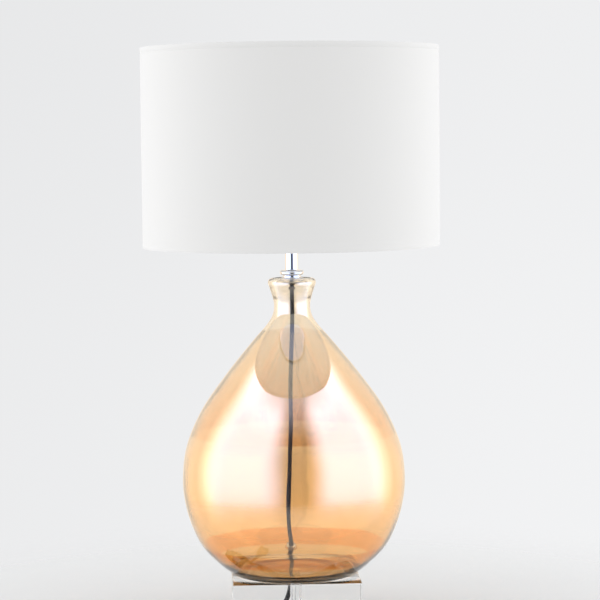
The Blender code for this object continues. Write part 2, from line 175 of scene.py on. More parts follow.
def repeated(piece, count):
    """The piece and its copies, each with its own mesh, numbered from 1."""
    stem = piece.name
    made = [piece]
    for _ in range(count - 1):
        only(piece)
        bpy.ops.object.duplicate(linked=False)
        made.append(bpy.context.object)
    for i, one in enumerate(made, 1):
        one.name = f"{stem}_{i}"
        one.data.name = one.name
    return made


def turned(name, profile, steps=96, closed=True, angle=math.tau, start=0.0, sharp=35):
    """A point drawn out along the profile of radius and height, then spun about the Z axis."""
    bpy.ops.object.select_all(action="DESELECT")
    bpy.ops.mesh.primitive_plane_add(size=0.001)
    piece = named(name)
    line = [Vector((r, 0, z)) for r, z in profile]
    if closed:
        line.append(line[0])
    bpy.ops.object.mode_set(mode="EDIT")
    bpy.ops.mesh.select_mode(type="VERT")
    bpy.ops.mesh.select_all(action="SELECT")
    bpy.ops.mesh.merge(type="CENTER")
    bpy.ops.transform.translate(value=line[0])
    for before, after in zip(line, line[1:]):
        bpy.ops.mesh.extrude_vertices_move(TRANSFORM_OT_translate={"value": after - before})
    bpy.ops.mesh.select_all(action="SELECT")
    if start:
        bpy.ops.transform.rotate(value=-start, orient_axis="Z", center_override=(0, 0, 0))
    bpy.ops.mesh.spin(steps=steps, angle=-angle, center=(0, 0, 0), axis=(0, 0, 1))
    if angle < math.tau:
        bpy.ops.mesh.select_all(action="SELECT")
        bpy.ops.mesh.remove_doubles(threshold=0.000002)
        bpy.ops.mesh.select_all(action="SELECT")
        bpy.ops.mesh.fill_holes(sides=0)
    closed_up()
    smooth(piece, sharp)
    return piece


def closed_up():
    """In edit mode: joins what meets, turns every face outwards and leaves edit mode."""
    bpy.ops.mesh.select_mode(type="VERT")
    bpy.ops.mesh.select_all(action="SELECT")
    bpy.ops.mesh.remove_doubles(threshold=0.000002)
    bpy.ops.mesh.normals_make_consistent(inside=False)
    bpy.ops.object.mode_set(mode="OBJECT")


def softened(corners, radius=0.0003, steps=3):
    """A closed profile with its corners rounded. A corner may give its own radius as a third number."""
    made = []
    count = len(corners)
    for i, corner in enumerate(corners):
        at = Vector(corner[:2])
        wanted = corner[2] if len(corner) > 2 else radius
        before = Vector(corners[i - 1][:2]) - at
        after = Vector(corners[(i + 1) % count][:2]) - at
        reach = min(wanted, before.length * 0.48, after.length * 0.48)
        if at.x < 0.00001 or reach < 0.00002:
            made.append(tuple(at))
            continue
        first = at + before.normalized() * reach
        last = at + after.normalized() * reach
        for k in range(steps + 1):
            t = k / steps
            made.append(tuple(first.lerp(at, t).lerp(at.lerp(last, t), t)))
    return made


def ring(inner, outer, low, high):
    return [(outer, high), (outer, low), (inner, low), (inner, high)]


def blend(t, a, b, c, d):
    bend = 2 * a - 5 * b + 4 * c - d
    turn = 3 * b - a - 3 * c + d
    return 0.5 * (2 * b + (c - a) * t + bend * t**2 + turn * t**3)


def smooth_line(points, per_span):
    """A smooth curve through the points, of any number of dimensions."""
    ends = [
        [2 * a - b for a, b in zip(points[0], points[1])],
        [2 * a - b for a, b in zip(points[-1], points[-2])],
    ]
    line = [ends[0], *points, ends[1]]
    made = []
    for i in range(1, len(line) - 2):
        around = list(zip(*line[i - 1 : i + 3]))
        made += [tuple(blend(k / per_span, *values) for values in around) for k in range(per_span)]
    made.append(tuple(points[-1]))
    return made


def cut_with(piece, tool):
    """Takes the tool's shape out of the piece."""
    modified(piece, "BOOLEAN", operation="DIFFERENCE", solver="EXACT", object=tool)
    bpy.data.objects.remove(tool, do_unlink=True)


def wire(name, line, radius, sides=4):
    """A round wire along a line, made a mesh."""
    piece = cord_curve(name, line, radius, sides)
    only(piece)
    bpy.ops.object.convert(target="MESH")
    piece = bpy.context.object
    bpy.ops.object.mode_set(mode="EDIT")
    closed_up()
    smooth(piece, 50)
    return piece


def cord_curve(name, line, radius, sides=5):
    curve = bpy.data.curves.new(name, "CURVE")
    curve.dimensions = "3D"
    curve.bevel_depth = radius
    curve.bevel_resolution = sides
    curve.use_fill_caps = True
    spline = curve.splines.new("POLY")
    spline.points.add(len(line) - 1)
    for spot, place in zip(spline.points, line):
        spot.co = (*place, 1)
    spline.use_smooth = True
    piece = bpy.data.objects.new(name, curve)
    bpy.context.scene.collection.objects.link(piece)
    return piece


def kept_by(piece, body, slot_name, finish, *nodes):
    """The piece gets its finish, rides on its body and stands for its CAD nodes."""
    piece.data.materials.clear()
    for one in finish if isinstance(finish, (list, tuple)) else [finish]:
        piece.data.materials.append(one)
    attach(piece, body)
    if nodes:
        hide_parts(*nodes)
    return piece


# ---------------------------------------------------------------- finishes

class Nodes:
    """A material's node tree with short calls to add and link nodes."""

    def __init__(self, tree):
        self.tree = tree

    def add(self, kind, **settings):
        made = self.tree.nodes.new(kind)
        for key, value in settings.items():
            setattr(made, key, value)
        return made

    def put(self, target, socket, value):
        entry = target.inputs[socket]
        if isinstance(value, bpy.types.NodeSocket):
            self.tree.links.new(value, entry)
        else:
            entry.default_value = value

    def math(self, operation, *values, clamp=False):
        made = self.add("ShaderNodeMath", operation=operation, use_clamp=clamp)
        for i, value in enumerate(values):
            self.put(made, i, value)
        return made.outputs[0]

    def fade(self, value, low, high, start=0.0, end=1.0):
        """Goes smoothly from start to end as the value goes from low to high."""
        made = self.add("ShaderNodeMapRange", interpolation_type="SMOOTHSTEP")
        sockets = ("Value", "From Min", "From Max", "To Min", "To Max")
        for socket, x in zip(sockets, (value, low, high, start, end)):
            self.put(made, socket, x)
        return made.outputs[0]

    def noise(self, vector, scale, detail=3.0, rough=0.5):
        made = self.add("ShaderNodeTexNoise")
        self.put(made, "Vector", vector)
        self.put(made, "Scale", scale)
        self.put(made, "Detail", detail)
        self.put(made, "Roughness", rough)
        return made.outputs[0]

    def place(self, output="Object", scale=(1, 1, 1)):
        made = self.add("ShaderNodeTexCoord").outputs[output]
        mapped = self.add("ShaderNodeMapping")
        self.put(mapped, "Vector", made)
        self.put(mapped, "Scale", scale)
        return mapped.outputs[0]

    def colours(self, share, first, second):
        """Goes from the first colour to the second. Each is three numbers or a socket."""
        made = self.add("ShaderNodeMix", data_type="RGBA")
        self.put(made, 0, share)
        for socket, value in ((6, first), (7, second)):
            self.put(made, socket, (*value, 1) if isinstance(value, tuple) else value)
        return made.outputs[2]

    def bump(self, height, distance, strength=1.0):
        made = self.add("ShaderNodeBump")
        self.put(made, "Height", height)
        self.put(made, "Distance", distance)
        self.put(made, "Strength", strength)
        return made.outputs[0]


def finish_of(name, **sockets):
    """A new material. Returns it with its nodes and its shader."""
    made = bpy.data.materials.new(name)
    made.use_nodes = True
    nodes = Nodes(made.node_tree)
    shader = made.node_tree.nodes["Principled BSDF"]
    for socket, value in sockets.items():
        nodes.put(shader, socket.replace("_", " "), value)
    return made, nodes, shader


def grained(name, light, dark, rough, spread, scale, depth, **sockets):
    """A finish with fine grain: colour, roughness and surface all vary with it."""
    made, nodes, shader = finish_of(name, **sockets)
    where = nodes.place()
    coarse = nodes.noise(where, scale / 8, 2)
    fine = nodes.noise(where, scale, 4)
    nodes.put(shader, "Base Color", nodes.colours(nodes.fade(coarse, 0.35, 0.65), light, dark))
    nodes.put(shader, "Roughness", nodes.fade(coarse, 0.3, 0.7, rough - spread, rough + spread))
    nodes.put(shader, "Normal", nodes.bump(fine, depth))
    return made


def lustre_glass():
    """Amber glass with a bright, almost neutral film on its outer face."""
    made, nodes, shader = finish_of(
        "amber_lustre", Transmission_Weight=1.0, IOR=1.46, Roughness=0.0, Coat_Weight=1.0,
        Coat_IOR=2.7, Coat_Roughness=0.015,
    )
    spot = nodes.add("ShaderNodeSeparateXYZ")
    nodes.put(spot, 0, nodes.place())
    nodes.put(shader, "Base Color", nodes.colours(
        nodes.fade(spot.outputs[2], 0.15, 0.36), (0.935, 0.50, 0.17), (0.98, 0.82, 0.595),
    ))
    nodes.put(shader, "Coat Weight", nodes.fade(spot.outputs[2], 0.08, 0.20, 0.30, 1.0))
    waves = nodes.noise(nodes.place(scale=(1, 1, 0.7)), 16.0, 1)
    normal = nodes.bump(waves, 0.0012)
    nodes.put(shader, "Normal", normal)
    nodes.put(shader, "Coat Normal", normal)
    return made


def inner_glass():
    made, nodes, shader = finish_of(
        "amber_glass_inside", Transmission_Weight=1.0, IOR=1.46, Roughness=0.0,
        Base_Color=(1.0, 0.97, 0.92, 1),
    )
    waves = nodes.noise(nodes.place(), 14.0, 1)
    nodes.put(shader, "Normal", nodes.bump(waves, 0.0010))
    return made


def acrylic():
    made, nodes, shader = finish_of("clear_acrylic", Transmission_Weight=1.0, IOR=1.49)
    where = nodes.place()
    haze = nodes.noise(where, 60.0, 3)
    nodes.put(shader, "Base Color", nodes.colours(haze, (0.985, 0.99, 0.99), (0.975, 0.985, 0.985)))
    nodes.put(shader, "Roughness", nodes.fade(haze, 0.4, 0.75, 0.0, 0.03))
    return made


def soft_clear():
    made, nodes, shader = finish_of("clear_soft_plastic", Transmission_Weight=0.9, IOR=1.45)
    haze = nodes.noise(nodes.place(), 400.0, 3)
    nodes.put(shader, "Base Color", nodes.colours(haze, (0.97, 0.97, 0.96), (0.94, 0.94, 0.93)))
    nodes.put(shader, "Roughness", nodes.fade(haze, 0.3, 0.7, 0.12, 0.25))
    return made


def chrome_plate():
    made, nodes, shader = finish_of("chrome_plate", Metallic=1.0)
    cloud = nodes.noise(nodes.place(), 120.0, 3)
    nodes.put(shader, "Base Color", nodes.colours(cloud, (0.88, 0.885, 0.90), (0.84, 0.845, 0.86)))
    nodes.put(shader, "Roughness", nodes.fade(cloud, 0.3, 0.7, 0.03, 0.06))
    return made


def woven_linen():
    """Fine plain weave with slubs along both threads. The map runs in metres along the cloth."""
    made, nodes, shader = finish_of("white_linen", Sheen_Weight=0.15, Sheen_Roughness=0.5, Roughness=0.9)
    cloth = nodes.add("ShaderNodeTexCoord").outputs["UV"]
    spot = nodes.add("ShaderNodeSeparateXYZ")
    nodes.put(spot, 0, cloth)
    along, across = spot.outputs[:2]
    rate = math.pi / THREAD
    warp = nodes.math("SINE", nodes.math("MULTIPLY", along, rate))
    weft = nodes.math("SINE", nodes.math("MULTIPLY", across, rate))
    both = nodes.math("MULTIPLY", warp, weft)
    over = nodes.math("ADD", nodes.math("ABSOLUTE", warp), both)
    under = nodes.math("SUBTRACT", nodes.math("ABSOLUTE", weft), both)
    weave = nodes.math("MULTIPLY", nodes.math("MAXIMUM", over, under), 0.5)
    slubs_across = nodes.noise(nodes.place("UV", (32, 560, 1)), 1.0, 2)
    slubs_along = nodes.noise(nodes.place("UV", (560, 32, 1)), 1.0, 2)
    slubs = nodes.math("MULTIPLY", nodes.math("ADD", slubs_across, slubs_along), 0.5)
    cloud = nodes.noise(nodes.place("UV"), 38.0, 3)
    tone = nodes.math("ADD", nodes.math("MULTIPLY", weave, 0.30), nodes.math("MULTIPLY", slubs, 1.5))
    tone = nodes.math("ADD", tone, nodes.math("MULTIPLY", cloud, 0.25))
    plain = nodes.colours(nodes.fade(tone, 0.77, 1.17), (0.77, 0.77, 0.767), (0.955, 0.955, 0.952))
    flecks = nodes.noise(nodes.place("UV", (600, 1000, 1)), 1.0, 1)
    speck = nodes.colours(nodes.fade(flecks, 0.80, 0.84), (1, 1, 1), (0.80, 0.77, 0.72))
    tinted = nodes.add("ShaderNodeMix", data_type="RGBA", blend_type="MULTIPLY")
    nodes.put(tinted, 0, 1.0)
    nodes.put(tinted, 6, plain)
    nodes.put(tinted, 7, speck)
    nodes.put(shader, "Base Color", tinted.outputs[2])
    height = nodes.math("ADD", weave, nodes.math("MULTIPLY", slubs, 0.8))
    nodes.put(shader, "Normal", nodes.bump(height, 0.00012))
    return made


THREAD = math.tau * SHADE_R / 2000
amber = lustre_glass()
amber_inside = inner_glass()
clear = acrylic()
clear_soft = soft_clear()
chrome = chrome_plate()
linen = woven_linen()
zinc = grained("zinc_plate", (0.66, 0.66, 0.64), (0.56, 0.56, 0.55), 0.33, 0.08, 900, 0.00002, Metallic=1.0)
brass = grained("brass", (0.80, 0.64, 0.35), (0.70, 0.54, 0.27), 0.26, 0.07, 700, 0.00002, Metallic=1.0)
white_moulded = grained("white_moulded", (0.86, 0.86, 0.84), (0.83, 0.83, 0.81), 0.42, 0.05, 1200, 0.00002)
liner_film = grained("liner_film", (0.90, 0.90, 0.885), (0.87, 0.87, 0.855), 0.50, 0.06, 900, 0.00003)
enamel = grained("white_enamel", (0.89, 0.89, 0.88), (0.86, 0.86, 0.85), 0.30, 0.05, 1500, 0.00003)
black_sheath = grained(
    "black_sheath", (0.018, 0.018, 0.019), (0.012, 0.012, 0.013), 0.42, 0.07, 1500, 0.00003,
)
brown_moulded = grained(
    "brown_moulded", (0.17, 0.085, 0.032), (0.13, 0.062, 0.024), 0.38, 0.06, 1200, 0.00002,
)
opal = grained(
    "opal_glass", (0.93, 0.93, 0.91), (0.90, 0.90, 0.88), 0.22, 0.03, 300, 0.00001, Subsurface_Weight=0.3,
    Subsurface_Scale=0.004, Coat_Weight=0.4, Coat_Roughness=0.05,
)


# ---------------------------------------------------------------- camera and flex

def hole_point(distance):
    """A point on the drilled hole's axis, at a distance outwards from the glass."""
    return (0.0, 0.0912 + distance * math.cos(HOLE_DIP), 0.0745 - distance * math.sin(HOLE_DIP))


def camera():
    made = bpy.data.cameras.new("camera")
    made.lens = CAMERA_LENS
    made.sensor_width = 36
    made.clip_end = 60
    held = bpy.data.objects.new("camera", made)
    bpy.context.scene.collection.objects.link(held)
    aim = Euler((math.pi / 2 - CAMERA_DOWN, 0, -CAMERA_RIGHT)).to_matrix().to_4x4()
    held.matrix_world = Matrix.Translation(CAMERA_AT) @ aim @ Matrix.Rotation(CAMERA_ROLL, 4, "Z")
    bpy.context.scene.camera = held


def winding(turn):
    """Radius and height in the coil after some turns: five rings inwards, then three out on top."""
    def step(x):
        x = min(max(x, 0), 1)
        return x * x * (3 - 2 * x)
    if turn <= 4:
        ring_number = math.floor(turn)
        inward = ring_number + step((turn - ring_number - 0.8) / 0.2)
        return COIL_OUT_R - 0.005 * inward, 0.004
    if turn <= 5:
        return COIL_OUT_R - 0.020, 0.004 + 0.005 * step((turn - 4.6) / 0.2)
    outward = sum(step((turn - 5 - n - 0.4) / 0.2) for n in range(3))
    return COIL_OUT_R - 0.020 + 0.005 * outward, 0.009


def coil_points():
    made = []
    for i in range(COIL_TURNS * STEPS_PER_TURN + 1):
        turn = i / STEPS_PER_TURN
        radius, height = winding(turn)
        angle = -math.tau * turn
        across, along = radius * math.cos(angle), radius * math.sin(angle)
        made.append((COIL_CENTRE.x + across, COIL_CENTRE.y + along, height))
    return made


def flexes():
    side = COIL_CENTRE.x + COIL_OUT_R
    free = [
        hole_point(0.0005), hole_point(0.006), (-0.0008, 0.0985, 0.0600), (-0.0012, 0.0995, 0.0420),
        (-0.0030, 0.0995, 0.0260), (-0.0090, 0.0990, 0.0125), (-0.0200, 0.0975, 0.0048),
        (-0.0360, 0.0940, 0.0031), (-0.0550, 0.0900, FLEX_R), (-0.0700, 0.0855, FLEX_R),
        (-0.0815, 0.0765, FLEX_R),
        (side, 0.0630, FLEX_R), (side - 0.0008, 0.0450, FLEX_R), (side, 0.0200, 0.0034),
        (side, -0.0138, 0.0040), (side, -0.0350, 0.0040),
    ]
    tail = [(PLUG_X, -0.0350, 0.0090), (PLUG_X, -0.0632, 0.0088), (PLUG_X, -0.0700, 0.0076)]
    tail += [(PLUG_X, -0.0780, PLUG_Z), (PLUG_X, RELIEF_START + 0.0003, PLUG_Z)]
    line = smooth_line(free, 8)[:-1] + coil_points()[:-1] + smooth_line(tail, 6)
    outer = cord_curve("free_flex", line, FLEX_R)
    kept_by(outer, "base", "black_sheath", black_sheath, "flex_outer", "flex_coil", "flex_tail")
    hanging = [
        (0, 0, HOLDER_Z + 0.0079), (0, 0, FOOT_Z + 0.3420), (0, 0, FOOT_Z + 0.3000),
        (-0.0012, 0.003, FOOT_Z + 0.2650), (-0.0026, 0.009, FOOT_Z + 0.2200),
        (-0.0022, 0.020, FOOT_Z + 0.1700), (-0.0036, 0.035, FOOT_Z + 0.1150),
        (-0.0040, 0.052, FOOT_Z + 0.0700), (-0.0020, 0.069, FOOT_Z + 0.0390),
        hole_point(-0.010), hole_point(0.0002),
    ]
    inner = cord_curve("hanging_flex", smooth_line(hanging, 12), FLEX_R)
    kept_by(inner, "base", "black_sheath", black_sheath, "flex_inner")
    return outer, inner


def plug_pieces():
    relief = turned("plug_relief_boot", softened([
        (0.0, 0.0), (0.0034, 0.0), (0.0036, 0.0010), (0.0040, 0.0050), (0.0037, 0.0062), (0.0042, 0.0074),
        (0.0045, 0.0110), (0.0042, 0.0122), (0.0047, 0.0134), (0.0050, 0.0170), (0.0047, 0.0182),
        (0.0052, 0.0194), (0.0056, RELIEF_LENGTH), (0.0, RELIEF_LENGTH),
    ], 0.0004), 40, closed=False)
    placed(relief, (PLUG_X, RELIEF_START, PLUG_Z), (math.pi / 2, 0, 0))
    kept_by(relief, "base", "black_sheath", black_sheath, "plug_relief")
    start = RELIEF_START - RELIEF_LENGTH - 0.0003
    bpy.ops.object.select_all(action="DESELECT")
    bpy.ops.mesh.primitive_cube_add(size=1)
    body = named("plug_moulding")
    body.scale = (0.0256, PLUG_LENGTH, 0.0125)
    placed(body)
    bpy.ops.object.mode_set(mode="EDIT")
    shape = bmesh.from_edit_mesh(body.data)
    for spot in shape.verts:
        spot.select = spot.co.y > 0
    shape.select_flush(True)
    bmesh.update_edit_mesh(body.data)
    bpy.ops.mesh.select_mode(type="FACE")
    bpy.ops.transform.translate(value=(0, -0.012, 0))
    bpy.ops.mesh.extrude_region_move(TRANSFORM_OT_translate={"value": (0, 0.012, 0)})
    bpy.ops.transform.resize(value=(0.52, 1, 0.94))
    closed_up()
    placed(body, (PLUG_X, start - PLUG_LENGTH / 2, PLUG_Z))
    modified(body, "BEVEL", width=0.0022, segments=5, limit_method="ANGLE")
    smooth(body, 40)
    kept_by(body, "base", "black_sheath", black_sheath, "plug_body")
    end = start - PLUG_LENGTH - 0.0003
    made = [relief, body]
    half = PIN_LENGTH / 2
    pin = turned("plug_brass_pin", softened([
        (0.0, half), (0.0020, half), (0.0020, -half + 0.0012), (0.0012, -half), (0.0, -half),
    ], 0.0004), 32, closed=False)
    for i, (pin, shift) in enumerate(zip(repeated(pin, 2), (-PIN_SHIFT, PIN_SHIFT)), 1):
        placed(pin, (PLUG_X + shift, end - half, PLUG_Z), (-math.pi / 2, 0, 0))
        kept_by(pin, "base", "brass", brass, f"plug_pin_{i}")
        made.append(pin)
    return made


def coil_band():
    """The strap round the coil, a flat band bent round its section."""
    low, high = 0.0175, 0.0425
    inner = softened(ring(low - 0.0003, high + 0.0003, 0.0012, 0.0118), 0.0018)
    outer = softened(ring(low - 0.0010, high + 0.0010, 0.0005, 0.0125), 0.0026)
    bpy.ops.object.select_all(action="DESELECT")
    bpy.ops.mesh.primitive_plane_add(size=0.001)
    band = named("coil_strap")
    shape = bmesh.new()
    rings = []
    for y in (-0.0030, 0.0030):
        for line in (inner, outer):
            rings.append([shape.verts.new((-r, y, z)) for r, z in line])
    count = len(inner)
    for first, second in ((0, 1), (1, 3), (3, 2), (2, 0)):
        for i in range(count):
            k = (i + 1) % count
            shape.faces.new((rings[first][i], rings[first][k], rings[second][k], rings[second][i]))
    bmesh.ops.recalc_face_normals(shape, faces=shape.faces)
    shape.to_mesh(band.data)
    shape.free()
    placed(band, (COIL_CENTRE.x, COIL_CENTRE.y, 0))
    modified(band, "BEVEL", width=0.0002, segments=2, limit_method="ANGLE", angle_limit=math.radians(60))
    smooth(band, 40)
    return kept_by(band, "base", "black_sheath", black_sheath, "coil_tie")


camera()
free_flex, hanging_flex = flexes()
plug_parts = plug_pieces()
coil_strap = coil_band()


# ---------------------------------------------------------------- glass, plinth and metalwork

def inset(line, depth):
    """The line moved in by a depth, square to its run."""
    made = []
    for i, (r, z) in enumerate(line):
        before = line[max(i - 1, 0)]
        after = line[min(i + 1, len(line) - 1)]
        run = Vector((after[0] - before[0], after[1] - before[1])).normalized()
        made.append((r - depth * run.y, z + depth * run.x))
    return made


def glass():
    outer = smooth_line(GLASS_OUTLINE, 6)
    inner = [p for p in inset(outer, GLASS_WALL) if GLASS_FLOOR + 0.010 < p[1] < MOUTH[-1][1] - 0.003]
    first = inner[0]
    floor = [(0.0, GLASS_FLOOR + 0.0008), (0.030, GLASS_FLOOR + 0.0006), (0.055, GLASS_FLOOR + 0.0003)]
    floor += [(first[0] - 0.022, GLASS_FLOOR + 0.0002), (first[0] - 0.012, GLASS_FLOOR + 0.0022)]
    floor = smooth_line([*floor, first], 4)[:-1]
    mouth = smooth_line([inner[-1], *reversed(MOUTH), *reversed(LIP), outer[-1]], 4)[1:-1]
    under = smooth_line([*UNDERSIDE, outer[0]], 4)[:-1]
    profile = [*floor, *inner, *mouth, *reversed(outer), *reversed(under)]
    body = turned("glass_teardrop", [(r, z + FOOT_Z) for r, z in profile], 144, closed=False, sharp=60)
    bpy.ops.object.select_all(action="DESELECT")
    bpy.ops.mesh.primitive_cylinder_add(vertices=48, radius=HOLE_R, depth=0.03)
    drill = bpy.context.object
    placed(drill, hole_point(0), HOLE_TURN)
    cut_with(body, drill)
    kept_by(body, "base", "amber_glass", [amber, amber_inside], "glass_body")
    line = inset(outer, GLASS_WALL * 0.5)
    for face in body.data.polygons:
        spot = face.center
        r = math.hypot(spot.x, spot.y)
        z = spot.z - FOOT_Z
        near = min(line, key=lambda p: (p[0] - r) ** 2 + (p[1] - z) ** 2)
        facing = (spot.x * face.normal.x + spot.y * face.normal.y) / max(r, 1e-9)
        inside = r < near[0] and z > GLASS_FLOOR * 0.6 and (facing < 0 or face.normal.z > 0.8 and z < 0.012)
        beneath = face.normal.z < -0.7 and z < 0.003
        face.material_index = 1 if inside or beneath else 0
    smooth(body, 60)


def plinth():
    block = clear_block("clear_plinth", PLINTH_SIDE, PLINTH_LOW, PLINTH_TOP)
    bpy.ops.object.select_all(action="DESELECT")
    bpy.ops.mesh.primitive_cylinder_add(vertices=64, radius=0.0065, depth=0.1, location=(0, 0, 0.03))
    cut_with(block, bpy.context.object)
    smooth(block, 30)
    kept_by(block, "base", "clear_acrylic", clear, "plinth_block")
    dome = [(0.0, 0.0015), (0.0060, 0.0015), (0.0060, 0.0011), (0.0050, 0.0002), (0.0038, 0.0)]
    bumper = turned("clear_bumper", softened([*dome, (0.0, 0.0)], 0.0003), 40, closed=False)
    corners = [(x, y, 0) for x in (-BUMPER_AT, BUMPER_AT) for y in (-BUMPER_AT, BUMPER_AT)]
    for i, (bumper, corner) in enumerate(zip(repeated(bumper, 4), corners), 1):
        placed(bumper, corner)
        kept_by(bumper, "base", "clear_soft_plastic", clear_soft, f"plinth_bumper_{i}")
    bond = turned("bond_ring", softened(ring(0.0637, 0.0697, 0.0603, 0.0607), 0.0001), 120)
    kept_by(bond, "base", "clear_soft_plastic", clear_soft, "foot_bond")


def clear_block(name, side, low, high):
    bpy.ops.object.select_all(action="DESELECT")
    bpy.ops.mesh.primitive_cube_add(size=1, location=(0, 0, (low + high) / 2))
    block = named(name)
    block.scale = (side, side, high - low)
    placed(block, block.location)
    modified(block, "BEVEL", width=0.0008, segments=4, limit_method="ANGLE")
    return block


def metalwork():
    f = FOOT_Z
    hole = ROD_R + 0.0003
    grommet = turned("hole_grommet", softened([
        (0.0051, 0.0022), (0.0066, 0.0014), (0.0066, 0.0008), (0.0047, 0.0004), (0.0047, -0.0044),
        (0.0028, -0.0044), (0.0028, 0.0022),
    ], 0.0003), 48)
    placed(grommet, hole_point(0), HOLE_TURN)
    kept_by(grommet, "base", "clear_soft_plastic", clear_soft, "flex_grommet")
    cap = turned("chrome_vase_cap", [(r, z + f) for r, z in softened([
        (0.0105, 0.3538), (0.0105, 0.3512), (0.0136, 0.3506), (0.0146, 0.3498), (0.0154, 0.3490),
        (0.0196, 0.3490), (0.0202, 0.3484), (0.0202, 0.3466), (0.0176, 0.3463), (0.0176, 0.3445),
        (0.0164, 0.3445), (0.0164, 0.3470), (0.0092, 0.3478), (0.0092, 0.3502), (hole, 0.3502),
        (hole, 0.3538),
    ], 0.0004)], 96)
    kept_by(cap, "base", "chrome", chrome, "vase_cap")
    gasket = turned("cap_seal", softened(ring(0.0179, 0.0199, f + 0.3446, f + 0.3460), 0.0004), 96)
    kept_by(gasket, "base", "clear_soft_plastic", clear_soft, "cap_gasket")
    washer = turned("steel_washer", softened(ring(hole, 0.0085, f + 0.3491, f + 0.3499), 0.0002), 64)
    kept_by(washer, "base", "zinc_steel", zinc, "rod_washer")
    bpy.ops.object.select_all(action="DESELECT")
    at = (0, 0, f + 0.3473)
    bpy.ops.mesh.primitive_cylinder_add(vertices=6, radius=0.0080, depth=0.0030, location=at)
    nut = named("steel_nut")
    placed(nut, nut.location)
    bpy.ops.object.select_all(action="DESELECT")
    bpy.ops.mesh.primitive_cylinder_add(vertices=40, radius=hole, depth=0.01, location=at)
    cut_with(nut, bpy.context.object)
    modified(nut, "BEVEL", width=0.0003, segments=3, limit_method="ANGLE", angle_limit=math.radians(40))
    smooth(nut, 30)
    kept_by(nut, "base", "zinc_steel", zinc, "rod_nut")
    low, high = f + 0.3541, f + 0.3597
    flange = [(0.0118, high, 0.0004), (0.0133, high - 0.0006, 0.0008), (0.0140, high - 0.0021, 0.0008)]
    flange += [(0.0140, low + 0.0021, 0.0008), (0.0133, low + 0.0006, 0.0008), (0.0118, low, 0.0004)]
    flange += [(hole, low), (hole, high)]
    collar = turned("chrome_flange", softened(flange, 0.0003, 4), 96)
    kept_by(collar, "base", "chrome", chrome, "flange_ring")
    tube = ring(STEM_R - 0.001, STEM_R, high + 0.0003, HOLDER_Z - 0.0003)
    stem = turned("chrome_stem", softened(tube, 0.0004), 96)
    kept_by(stem, "base", "chrome", chrome, "stem_tube")
    rod = [(ROD_BORE_R, HOLDER_Z + 0.0060), (ROD_BORE_R, f + 0.3449), (ROD_R - 0.0004, f + 0.3449)]
    turns = 90
    top = HOLDER_Z + 0.0060
    pitch = (top - f - 0.3453) / turns
    for k in range(turns):
        z = f + 0.3453 + k * pitch
        rod += [(ROD_R - 0.0004, z), (ROD_R, z + pitch / 2)]
    rod.append((ROD_R - 0.0004, top))
    kept_by(turned("zinc_rod", rod, 32, sharp=20), "base", "zinc_steel", zinc, "threaded_rod")
    bush = [(0.0036, 0.3432), (0.0039, 0.3424), (0.0039, 0.3404), (0.0036, 0.3398)]
    bush += [(0.0028, 0.3398), (0.0028, 0.3432)]
    bush = turned("brown_bush", [(r, z + f) for r, z in softened(bush, 0.0003)], 48)
    kept_by(bush, "base", "brown_plastic", brown_moulded, "flex_bush")


glass()
plinth()
metalwork()


# ---------------------------------------------------------------- lampholder and bulb

def ridged(crest, root, high, low, count):
    """Rounded thread ridges down a side."""
    made = []
    pitch = (high - low) / count
    for k in range(count):
        for share, radius in ((0.0, root), (0.3, crest), (0.6, crest)):
            made.append((radius, high - (k + share) * pitch))
    made.append((root, low))
    return made


